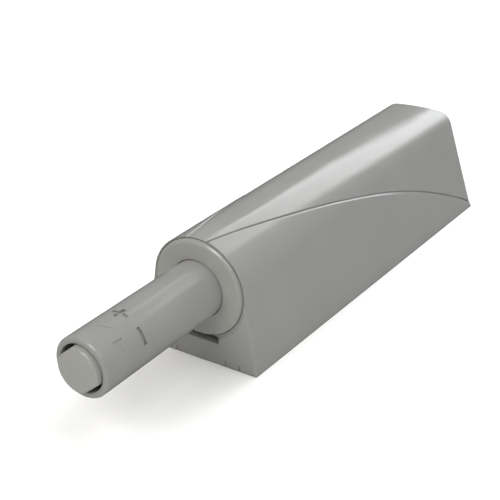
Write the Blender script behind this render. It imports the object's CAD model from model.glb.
"""Looks of the push-to-open catch: moulded grey plastic, with the adjuster's marks sunk in its tube."""

from math import cos, hypot, pi, radians, sin

import bmesh
import bpy
from mathutils import Matrix, Vector


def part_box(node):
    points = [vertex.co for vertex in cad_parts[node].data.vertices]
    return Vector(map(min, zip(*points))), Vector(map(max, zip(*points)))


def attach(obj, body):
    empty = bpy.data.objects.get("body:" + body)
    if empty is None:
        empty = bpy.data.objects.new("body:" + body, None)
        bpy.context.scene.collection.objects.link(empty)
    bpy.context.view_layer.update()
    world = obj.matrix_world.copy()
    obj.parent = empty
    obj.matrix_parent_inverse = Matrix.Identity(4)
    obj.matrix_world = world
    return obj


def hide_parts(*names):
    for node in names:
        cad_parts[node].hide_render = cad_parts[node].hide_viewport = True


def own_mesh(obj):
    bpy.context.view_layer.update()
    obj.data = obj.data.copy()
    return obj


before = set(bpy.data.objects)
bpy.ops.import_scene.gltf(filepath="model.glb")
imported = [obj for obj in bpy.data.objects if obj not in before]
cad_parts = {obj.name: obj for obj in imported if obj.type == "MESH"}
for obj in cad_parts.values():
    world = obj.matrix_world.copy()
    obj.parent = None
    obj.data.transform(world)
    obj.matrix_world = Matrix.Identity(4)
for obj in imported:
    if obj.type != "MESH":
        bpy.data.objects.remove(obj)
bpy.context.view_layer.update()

MM = 0.001


# ---- Objects -----------------------------------------------------------------------------
def add_object(name, data):
    """New object in the scene from a mesh, a light or a camera."""
    made = bpy.data.objects.new(name, data)
    bpy.context.scene.collection.objects.link(made)
    return made


def add_shape(name, shape):
    """New object from a closed bmesh, which is freed."""
    bmesh.ops.recalc_face_normals(shape, faces=shape.faces)
    mesh = bpy.data.meshes.new(name)
    shape.to_mesh(mesh)
    shape.free()
    return add_object(name, mesh)


def copy_node(node_name, name):
    """Copy of a CAD piece, in the same place and with the same finish."""
    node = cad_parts[node_name]
    copy = add_object(name, node.data.copy())
    copy.matrix_world = node.matrix_world.copy()
    return copy


# ---- Camera ------------------------------------------------------------------------------
CAMERA_AZIMUTH = radians(34.40)  # from the front towards the right
CAMERA_ELEVATION = radians(26.635)
CAMERA_ROLL = radians(-1.395)
CAMERA_DISTANCE = 158.603 * MM
CAMERA_TARGET = Vector((-5.471, -12.055, 6.146)) * MM
LENS = 77.19
SENSOR = 36.0


def add_camera():
    """Camera at the product shot's angle, slightly rolled."""
    back = Vector((
        sin(CAMERA_AZIMUTH) * cos(CAMERA_ELEVATION),
        -cos(CAMERA_AZIMUTH) * cos(CAMERA_ELEVATION),
        sin(CAMERA_ELEVATION),
    ))
    level = Vector((cos(CAMERA_AZIMUTH), sin(CAMERA_AZIMUTH), 0))
    upright = back.cross(level)
    right = cos(CAMERA_ROLL) * level + sin(CAMERA_ROLL) * upright
    up = -sin(CAMERA_ROLL) * level + cos(CAMERA_ROLL) * upright
    data = bpy.data.cameras.new("camera")
    data.lens = LENS
    data.sensor_width = SENSOR
    data.clip_start = MM
    camera = add_object("camera", data)
    turn = Matrix((right, up, back)).transposed().to_4x4()
    camera.matrix_world = Matrix.Translation(CAMERA_TARGET + back * CAMERA_DISTANCE) @ turn
    bpy.context.scene.camera = camera


# ---- Node helpers ------------------------------------------------------------------------
def new_material(name):
    """Material with its node tree and its Principled shader."""
    material = bpy.data.materials.new(name)
    material.use_nodes = True
    return material, material.node_tree, material.node_tree.nodes["Principled BSDF"]


def math_node(tree, operation, first, second):
    """Two-value maths node; each value is a socket or a number."""
    node = tree.nodes.new("ShaderNodeMath")
    node.operation = operation
    for socket, value in zip(node.inputs, (first, second)):
        if isinstance(value, (int, float)):
            socket.default_value = value
        else:
            tree.links.new(value, socket)
    return node.outputs["Value"]


def ramp(tree, source, stops):
    """Greys over a length: stops are (length, brightness)."""
    low, high = stops[0][0], stops[-1][0]
    span = tree.nodes.new("ShaderNodeMapRange")
    span.inputs["From Min"].default_value = low
    span.inputs["From Max"].default_value = high
    tree.links.new(source, span.inputs["Value"])
    shade = tree.nodes.new("ShaderNodeValToRGB")
    elements = shade.color_ramp.elements
    while len(elements) < len(stops):
        elements.new(0.5)
    # places come first, because setting one can change the elements' order
    for element, (length, _) in zip(elements, stops):
        element.position = (length - low) / (high - low)
    for element, (_, level) in zip(elements, stops):
        element.color = (level, level, level, 1)
    tree.links.new(span.outputs["Result"], shade.inputs["Fac"])
    return shade.outputs["Color"]


def noise(tree, size, detail):
    """Noise in the piece's own space, with patches of about a size."""
    place = tree.nodes.new("ShaderNodeTexCoord")
    texture = tree.nodes.new("ShaderNodeTexNoise")
    texture.inputs["Scale"].default_value = 1 / size
    texture.inputs["Detail"].default_value = detail
    tree.links.new(place.outputs["Object"], texture.inputs["Vector"])
    return texture.outputs["Fac"]


def vary_roughness(tree, shader, source, low, high):
    """Lets the shader's roughness follow a noise between two values."""
    gloss = tree.nodes.new("ShaderNodeMapRange")
    gloss.inputs["To Min"].default_value = low
    gloss.inputs["To Max"].default_value = high
    tree.links.new(source, gloss.inputs["Value"])
    tree.links.new(gloss.outputs["Result"], shader.inputs["Roughness"])


# ---- Area lights -------------------------------------------------------------------------
MIDDLE = Vector((0, -5, 8)) * MM  # the lights point here
SOFTBOX_DISTANCE = 0.7
SOFTBOX_SIZE = 0.35
NEUTRAL = (1.0, 1.0, 1.0)
WARM = (1.0, 0.98, 0.93)
FILLS = (
    # azimuth from the rear towards the right, elevation, radiance, colour, mirrored by the plastic
    (300, 12, 4.1, NEUTRAL, False),
    (0, 36, 1.45, NEUTRAL, False),
    (45, 36, 2.0, NEUTRAL, False),
    (135, 36, 2.35, NEUTRAL, True),
    (180, 44, 4.9, WARM, True),
    (225, 44, 3.8, WARM, False),
    (0, 62, 1.85, NEUTRAL, False),
    (90, 62, 3.75, NEUTRAL, False),
    (270, 62, 1.25, NEUTRAL, False),
)
GLINT_AZIMUTH = 165
GLINT_ELEVATION = 55
GLINT_RADIANCE = 5.0


def add_softbox(name, azimuth, elevation, radiance, colour, mirrored):
    """Square area light aimed at the catch, which the plastic mirrors or only takes light from."""
    data = bpy.data.lights.new(name, "AREA")
    data.shape = "SQUARE"
    data.size = SOFTBOX_SIZE
    data.energy = radiance * pi * SOFTBOX_SIZE**2
    data.color = colour
    light = add_object(name, data)
    turn, lift = radians(azimuth), radians(elevation)
    away = Vector((sin(turn) * cos(lift), cos(turn) * cos(lift), sin(lift)))
    facing = away.to_track_quat("Z", "Y").to_matrix().to_4x4()
    light.matrix_world = Matrix.Translation(MIDDLE + away * SOFTBOX_DISTANCE) @ facing
    light.visible_glossy = mirrored
    return light


def add_fills():
    """Soft fills round the catch."""
    for azimuth, elevation, radiance, colour, mirrored in FILLS:
        add_softbox(f"fill_{azimuth}_{elevation}", azimuth, elevation, radiance, colour, mirrored)


def add_glint():
    """Light that is only mirrored, in the rounded edges at the front."""
    glint = add_softbox("glint", GLINT_AZIMUTH, GLINT_ELEVATION, GLINT_RADIANCE, WARM, True)
    glint.visible_diffuse = False


# ---- Strip light -------------------------------------------------------------------------
STRIP_Y = 0.5
STRIP_OUTLINE = (  # (across, up) in metres, its lower left corner cut away
    (-0.165, 0.12), (-0.19, 0.199), (-0.263, 0.243), (-0.288, 0.30), (-0.275, 0.40), (-0.20, 0.72),
    (0.50, 0.72), (0.50, 0.12),
)
STRIP_RADIANCE = 4.2
STRIP_COLOUR = (0.97, 1.0, 1.0, 1)
STRIP_ACROSS = (  # (metres across, brightness)
    (-0.30, 0.66), (-0.20, 0.69), (-0.15, 0.74), (-0.10, 0.84), (0.0, 1.0), (0.08, 1.0), (0.12, 0.95),
    (0.15, 0.74), (0.175, 0.50), (0.205, 0.24), (0.235, 0.08), (0.29, 0.0),
)
STRIP_UP = (  # (metres up, brightness)
    (0.20, 1.0), (0.31, 1.0), (0.36, 0.92), (0.40, 0.82), (0.45, 0.64), (0.48, 0.50), (0.55, 0.38),
    (0.65, 0.26), (0.68, 0.14), (0.72, 0.0),
)
STRIP_SPREAD = 0.42  # above this height its fade on the right moves outwards


def diffuser():
    """Glow of the strip light, fading to the right and upwards."""
    material, tree, _ = new_material("diffuser")
    tree.nodes.clear()
    place = tree.nodes.new("ShaderNodeTexCoord")
    parts = tree.nodes.new("ShaderNodeSeparateXYZ")
    tree.links.new(place.outputs["Object"], parts.inputs["Vector"])
    across, up = parts.outputs["X"], parts.outputs["Z"]
    outwards = math_node(tree, "MAXIMUM", math_node(tree, "SUBTRACT", up, STRIP_SPREAD), 0.0)
    spread = math_node(tree, "SUBTRACT", across, outwards)
    level = math_node(tree, "MULTIPLY", ramp(tree, spread, STRIP_ACROSS), ramp(tree, up, STRIP_UP))
    glow = tree.nodes.new("ShaderNodeEmission")
    glow.inputs["Color"].default_value = STRIP_COLOUR
    tree.links.new(math_node(tree, "MULTIPLY", level, STRIP_RADIANCE), glow.inputs["Strength"])
    out = tree.nodes.new("ShaderNodeOutputMaterial")
    tree.links.new(glow.outputs["Emission"], out.inputs["Surface"])
    return material


def add_strip_light():
    """Long diffuser behind the catch, crisp on its left."""
    mesh = bpy.data.meshes.new("strip_light")
    corners = [(across, 0, up) for across, up in STRIP_OUTLINE]
    mesh.from_pydata(corners, [], [tuple(range(len(corners)))])
    strip = add_object("strip_light", mesh)
    strip.location.y = STRIP_Y
    strip.visible_camera = False
    mesh.materials.append(diffuser())


# ---- Floor and surroundings --------------------------------------------------------------
FLOOR_HALF = 3.0
FLOOR_DROP = 0.05 * MM  # keeps the floor clear of the mounting face
FLOOR_COLOUR = (0.97, 0.97, 0.97)
FLOOR_ROUGHNESS = 0.9
FLOOR_GLOW = ((0.20, 0.0), (0.50, 1.0))  # the floor stays white out of the lights' reach
WHITE = (1, 1, 1, 1)


def floor_material():
    """Matt and pale, glowing by itself farther out."""
    material, tree, shader = new_material("pale_floor")
    shader.inputs["Base Color"].default_value = (*FLOOR_COLOUR, 1)
    shader.inputs["Roughness"].default_value = FLOOR_ROUGHNESS
    shader.inputs["Specular IOR Level"].default_value = 0.0
    place = tree.nodes.new("ShaderNodeTexCoord")
    away = tree.nodes.new("ShaderNodeVectorMath")
    away.operation = "LENGTH"
    tree.links.new(place.outputs["Object"], away.inputs[0])
    tree.links.new(ramp(tree, away.outputs["Value"], FLOOR_GLOW), shader.inputs["Emission Color"])
    shader.inputs["Emission Strength"].default_value = 1
    return material


def add_floor():
    """Plain floor under the catch, which the plastic doesn't mirror."""
    mesh = bpy.data.meshes.new("floor")
    corners = [(x * FLOOR_HALF, y * FLOOR_HALF, 0) for x, y in ((-1, -1), (1, -1), (1, 1), (-1, 1))]
    mesh.from_pydata(corners, [], [(0, 1, 2, 3)])
    floor = add_object("floor", mesh)
    floor.location.z = -FLOOR_DROP
    floor.visible_glossy = False
    mesh.materials.append(floor_material())


def add_surroundings():
    """Standard view, and a white background that neither lights the catch nor is mirrored in it."""
    bpy.context.scene.view_settings.view_transform = "Standard"
    world = bpy.data.worlds.new("studio")
    bpy.context.scene.world = world
    world.use_nodes = True
    background = world.node_tree.nodes["Background"]
    background.inputs["Color"].default_value = WHITE
    background.inputs["Strength"].default_value = 1
    world.cycles_visibility.diffuse = False
    world.cycles_visibility.glossy = False


# ---- Materials ---------------------------------------------------------------------------
GREY = (0.30, 0.30, 0.295)
WARM_GREY = (0.31, 0.31, 0.295)
TUBE_GREY = (0.28, 0.28, 0.276)
NATURAL = (0.72, 0.70, 0.64)
BLACK = (0.02, 0.02, 0.02)
STEEL = (0.56, 0.56, 0.57)
MOTTLE_SIZE = 9 * MM
MOTTLE_DETAIL = 3
MOTTLE_RANGE = (0.3, 0.7)  # of the noise, over which the colour changes
COLOUR_SPREAD = 0.03  # share by which it changes either way
GRAIN_SIZE = 0.25 * MM
GRAIN_DETAIL = 2
GRAIN_RELIEF = 0.004 * MM
ROUGHNESS_SPREAD = 0.03
EDGE_ROUND = 0.12 * MM
HOUSING_EDGE_ROUND = 0.3 * MM
EDGE_SAMPLES = 6
DRAWN_SIZE = 0.3 * MM
DRAWN_DETAIL = 2
DRAWN_ROUGHNESS = (0.18, 0.34)


def moulded_plastic(name, colour, roughness, edge_round=EDGE_ROUND):
    """Moulding with a faintly mottled colour, a fine spark-eroded skin and softened edges."""
    material, tree, shader = new_material(name)
    shade = tree.nodes.new("ShaderNodeValToRGB")
    shares = (1 - COLOUR_SPREAD, 1 + COLOUR_SPREAD)
    for element, position, share in zip(shade.color_ramp.elements, MOTTLE_RANGE, shares):
        element.position = position
        element.color = (*[channel * share for channel in colour], 1)
    tree.links.new(noise(tree, MOTTLE_SIZE, MOTTLE_DETAIL), shade.inputs["Fac"])
    tree.links.new(shade.outputs["Color"], shader.inputs["Base Color"])
    skin = noise(tree, GRAIN_SIZE, GRAIN_DETAIL)
    vary_roughness(tree, shader, skin, roughness - ROUGHNESS_SPREAD, roughness + ROUGHNESS_SPREAD)
    softened = tree.nodes.new("ShaderNodeBevel")
    softened.samples = EDGE_SAMPLES
    softened.inputs["Radius"].default_value = edge_round
    bump = tree.nodes.new("ShaderNodeBump")
    bump.inputs["Strength"].default_value = 1
    bump.inputs["Distance"].default_value = GRAIN_RELIEF
    tree.links.new(skin, bump.inputs["Height"])
    tree.links.new(softened.outputs["Normal"], bump.inputs["Normal"])
    tree.links.new(bump.outputs["Normal"], shader.inputs["Normal"])
    return material


def spring_steel():
    """Drawn steel wire and sheet, with a gloss that varies along it."""
    material, tree, shader = new_material("spring_steel")
    vary_roughness(tree, shader, noise(tree, DRAWN_SIZE, DRAWN_DETAIL), *DRAWN_ROUGHNESS)
    shader.inputs["Base Color"].default_value = (*STEEL, 1)
    shader.inputs["Metallic"].default_value = 1
    return material


def dress_cad_nodes():
    """Gives the CAD pieces their finishes; the copies made of them later take these along."""
    housing = moulded_plastic("housing_plastic", GREY, roughness=0.13, edge_round=HOUSING_EDGE_ROUND)
    latch = moulded_plastic("latch_plastic", WARM_GREY, roughness=0.13)
    natural = moulded_plastic("natural_plastic", NATURAL, roughness=0.25)
    rubber = moulded_plastic("black_rubber", BLACK, roughness=0.6)
    steel = spring_steel()
    finishes = {
        "base": housing, "cover": housing, "latch_barrel": latch, "barrel_end_cap": latch,
        "spring_guide_rod": latch, "barrel_lock": latch, "tip_pin": latch, "slider": natural,
        "front_buffer": rubber, "rear_buffer": rubber, "grip_ring": rubber,
        "main_spring": steel, "spring_washer": steel, "retaining_clip": steel, "cam_follower": steel,
    }
    for node, finish in finishes.items():
        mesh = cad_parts[node].data
        mesh.materials.clear()
        mesh.materials.append(finish)


# ---- Barrel with its front ring ----------------------------------------------------------
# Lengths are mm.
BARREL_RADIUS = 5.0
RING_RADIUS = 6.8
RING_GROWTH = 0.07  # narrows the gap round the ring to a hairline
RING_START = 0.01  # share of the way from the barrel's wall to the ring's edge


def add_latch_barrel():
    """Copy of the CAD barrel whose front ring fills its recess more closely."""
    low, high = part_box("latch_barrel")
    axis_z = (low[2] + high[2]) / 2
    barrel = copy_node("latch_barrel", "ringed_barrel")
    to_frame = barrel.matrix_world
    from_frame = to_frame.inverted()
    for vertex in barrel.data.vertices:
        x, y, z = to_frame @ vertex.co
        radius = hypot(x, z - axis_z)
        share = (radius / MM - BARREL_RADIUS) / (RING_RADIUS - BARREL_RADIUS)
        if share > RING_START:
            grown = 1 + share * RING_GROWTH * MM / radius
            vertex.co = from_frame @ Vector((x * grown, y, axis_z + (z - axis_z) * grown))
    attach(barrel, "housing")
    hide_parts("latch_barrel")


def add_main_spring():
    """Copy of the CAD spring that closes up towards the end cap as the slider goes in."""
    spring = copy_node("main_spring", "coil_spring")
    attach(spring, "housing")
    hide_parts("main_spring")
    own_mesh(spring)


# ---- Marks on the adjuster tube ----------------------------------------------------------
# Angles are degrees from the top of the tube towards the right, and lengths are mm.
TUBE_RADIUS = 4.0
CUT_OUTSIDE = 0.3  # the cutters stand this far out of the tube
CUT_STEP = 3.0  # degrees between a cutter's points
SIGN_ROW = 7.0  # distance of the plus and minus from the tip
SIGN_DEPTH = 0.28
BAR_HALF = 0.25  # half the width of a bar that runs round the tube
MINUS_START = 45.4
MINUS_END = 79.0
PLUS_MIDDLE = 4.0
PLUS_ARM_ACROSS = 16.0  # an angle
PLUS_ARM_ALONG = 0.91
PLUS_BAR_TURN = 3.6  # half the width, as an angle, of its bar along the tube
ARROW_ROW = 3.4
ARROW_DEPTH = 0.09
ARROW_HALF = 0.77
ARROW_OUT = (20.4, -3.0)  # angles of its back and of its point
ARROW_IN = (44.0, 67.0)


def bar(start, end, near, far):
    """Outline of a bar between two angles and two distances from the tip."""
    return [(start, near), (end, near), (end, far), (start, far)]


def arrowhead(back, point):
    """Outline of an arrowhead that points round the tube."""
    return [(back, ARROW_ROW - ARROW_HALF), (back, ARROW_ROW + ARROW_HALF), (point, ARROW_ROW)]


def marks():
    """Name, outline and depth of every mark."""
    left, right = PLUS_MIDDLE - PLUS_ARM_ACROSS, PLUS_MIDDLE + PLUS_ARM_ACROSS
    near, far = SIGN_ROW - BAR_HALF, SIGN_ROW + BAR_HALF
    bar_along = bar(
        PLUS_MIDDLE - PLUS_BAR_TURN, PLUS_MIDDLE + PLUS_BAR_TURN,
        SIGN_ROW - PLUS_ARM_ALONG, SIGN_ROW + PLUS_ARM_ALONG,
    )
    return (
        ("minus", bar(MINUS_START, MINUS_END, near, far), SIGN_DEPTH),
        ("plus_across", bar(left, right, near, far), SIGN_DEPTH),
        ("plus_along", bar_along, SIGN_DEPTH),
        ("arrow_out", arrowhead(*ARROW_OUT), ARROW_DEPTH),
        ("arrow_in", arrowhead(*ARROW_IN), ARROW_DEPTH),
    )


def cutter(name, outline, front_y, axis_z, depth):
    """Closed block over a patch of the tube: outline is (angle, distance from the tip)."""
    dense = []
    for (angle, along), (next_angle, next_along) in zip(outline, outline[1:] + outline[:1]):
        steps = max(1, int(abs(next_angle - angle) / CUT_STEP))
        dense += [
            (angle + (next_angle - angle) * i / steps, along + (next_along - along) * i / steps)
            for i in range(steps)
        ]
    shape = bmesh.new()
    layers = []
    for radius in (TUBE_RADIUS - depth, TUBE_RADIUS + CUT_OUTSIDE):
        layers.append([
            shape.verts.new((
                radius * sin(radians(angle)) * MM,
                front_y + along * MM,
                axis_z + radius * cos(radians(angle)) * MM,
            ))
            for angle, along in dense
        ])
    inner, outer = layers
    shape.faces.new(inner)
    shape.faces.new(reversed(outer))
    for i in range(len(dense)):
        j = (i + 1) % len(dense)
        shape.faces.new((inner[i], outer[i], outer[j], inner[j]))
    bmesh.ops.triangulate(shape, faces=[face for face in shape.faces if len(face.verts) > 4])
    return add_shape(name, shape)


def subtract(piece, block):
    """Cuts a block out of a piece and deletes the block."""
    cut = piece.modifiers.new("cut", "BOOLEAN")
    cut.operation = "DIFFERENCE"
    cut.solver = "EXACT"
    cut.object = block
    bpy.context.view_layer.update()
    evaluated = piece.evaluated_get(bpy.context.evaluated_depsgraph_get())
    mesh = bpy.data.meshes.new_from_object(evaluated)
    piece.modifiers.clear()
    piece.data = mesh
    bpy.data.objects.remove(block)


# ---- Adjuster tube -----------------------------------------------------------------------
# Lengths are mm, and the bores are given by their radius.
TUBE_BORE = 3.15
NOSE_ROUND = 0.45
NOSE_STEPS = 8
BORE_ROUND = 0.15
BORE_STEPS = 4
SKIRT_RADIUS = 4.38
SKIRT_BORE = 3.75
SKIRT_LENGTH = 5.0
SHOULDER_WEB = 0.6
SEAT_GAP = 0.05  # between the end of the skirt's bore and the slider's neck
GROOVE_START = 1.0  # of the split ring's groove, behind the front of the slider's neck
GROOVE_WIDTH = 0.6
GROOVE_DEPTH = 0.22
TUBE_SIDES = 192
SMOOTH_ANGLE = radians(32)


def arc(centre, radius, start, end, steps):
    """Points (y, r) round a centre, by angle in degrees from the front."""
    angles = [radians(start + (end - start) * i / steps) for i in range(steps + 1)]
    return [(centre[0] - radius * cos(angle), centre[1] + radius * sin(angle)) for angle in angles]


def lathe(name, profile, axis_z, sides):
    """Closed mesh turned about the line along Y at a height; profile is (y, r) in mm."""
    shape = bmesh.new()
    rings = []
    for y, r in profile:
        rings.append([
            shape.verts.new((
                r * sin(2 * pi * i / sides) * MM,
                y * MM,
                axis_z + r * cos(2 * pi * i / sides) * MM,
            ))
            for i in range(sides)
        ])
    for ring, following in zip(rings, rings[1:] + rings[:1]):
        for i in range(sides):
            j = (i + 1) % sides
            shape.faces.new((ring[i], ring[j], following[j], following[i]))
    return add_shape(name, shape)


def add_adjuster_tube():
    """The tube, turned like its CAD node, with plus, minus and arrowheads sunk in it."""
    low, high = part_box("adjuster_sleeve")
    front, rear = low[1] / MM, high[1] / MM
    axis_z = (low[2] + high[2]) / 2
    shoulder = rear - SKIRT_LENGTH
    bore_end = shoulder + SHOULDER_WEB - SEAT_GAP
    groove = shoulder + SHOULDER_WEB + GROOVE_START
    profile = (
        arc((front + BORE_ROUND, TUBE_BORE + BORE_ROUND), BORE_ROUND, -90, 0, BORE_STEPS)
        + arc((front + NOSE_ROUND, TUBE_RADIUS - NOSE_ROUND), NOSE_ROUND, 0, 90, NOSE_STEPS)
        + [(shoulder, TUBE_RADIUS), (shoulder, SKIRT_RADIUS), (rear, SKIRT_RADIUS), (rear, SKIRT_BORE)]
        + [(groove + GROOVE_WIDTH, SKIRT_BORE), (groove + GROOVE_WIDTH, SKIRT_BORE + GROOVE_DEPTH)]
        + [(groove, SKIRT_BORE + GROOVE_DEPTH), (groove, SKIRT_BORE)]
        + [(bore_end, SKIRT_BORE), (bore_end, TUBE_BORE)]
    )
    tube = lathe("adjuster_tube", profile, axis_z, TUBE_SIDES)
    for name, outline, depth in marks():
        subtract(tube, cutter(name, outline, low[1], axis_z, depth))
    tube.data.materials.clear()
    tube.data.materials.append(moulded_plastic("tube_plastic", TUBE_GREY, roughness=0.11))
    for face in tube.data.polygons:
        face.use_smooth = True
    tube.data.set_sharp_from_angle(angle=SMOOTH_ANGLE)
    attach(tube, "adjuster")
    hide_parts("adjuster_sleeve")


dress_cad_nodes()
add_latch_barrel()
add_main_spring()
add_adjuster_tube()
add_surroundings()
add_fills()
add_glint()
add_strip_light()
add_floor()
add_camera()
